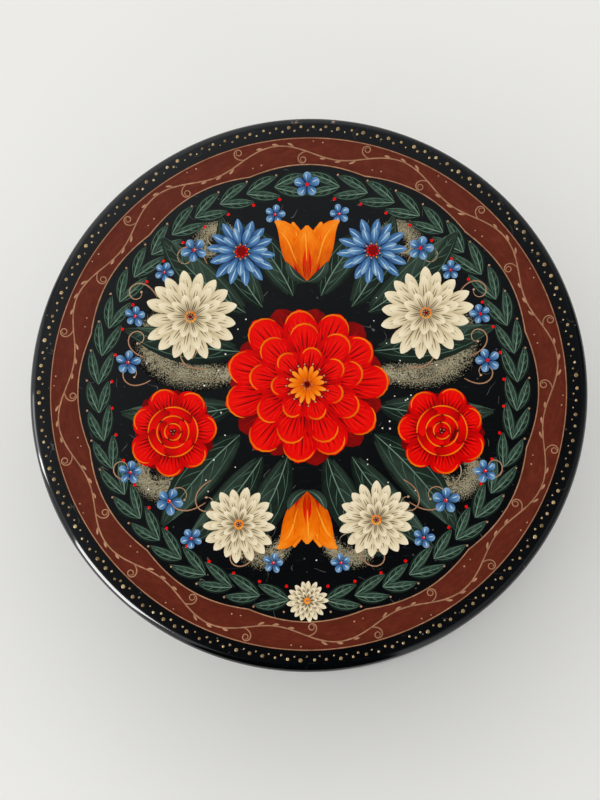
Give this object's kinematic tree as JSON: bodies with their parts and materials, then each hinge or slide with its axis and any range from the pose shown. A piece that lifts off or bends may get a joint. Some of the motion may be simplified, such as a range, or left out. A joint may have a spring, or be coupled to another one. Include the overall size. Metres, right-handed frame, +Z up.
{
  "type": "round lacquer box with a hinged lid",
  "caption": "Round papier-mache box in black lacquer with a slightly domed painted lid, an inner locating collar and a rolled barrel hinge let into the back.",
  "frame": {"origin": "centre of the underside, on the plane the box stands on", "axes": "+Z up through the lid, +Y towards the hinge at the back, +X to the right seen from the front"},
  "size_m": [0.1, 0.1002, 0.0388],
  "materials": {
    "black_lacquer": "gloss",
    "red_lacquer": "gloss",
    "hinge_brass": "satin",
    "hinge_wire": "satin"
  },
  "bodies": {
    "case": {"wall": "black_lacquer", "base": "red_lacquer", "collar": "red_lacquer", "body_hinge_leaf": "hinge_brass", "body_leaf_pins": "hinge_brass", "hinge_pin": "hinge_wire"},
    "lid": {"lid_rim": "black_lacquer", "lid_plate": "black_lacquer", "lid_hinge_leaf": "hinge_brass", "lid_leaf_pins": "hinge_brass"}
  },
  "joints": [
    {"name": "lid_hinge", "type": "hinge", "parent": "case", "child": "lid", "pos_m": [0, 0.049, 0.027], "axis": [-1, 0, 0], "range_deg": [0, 105]}
  ]
}
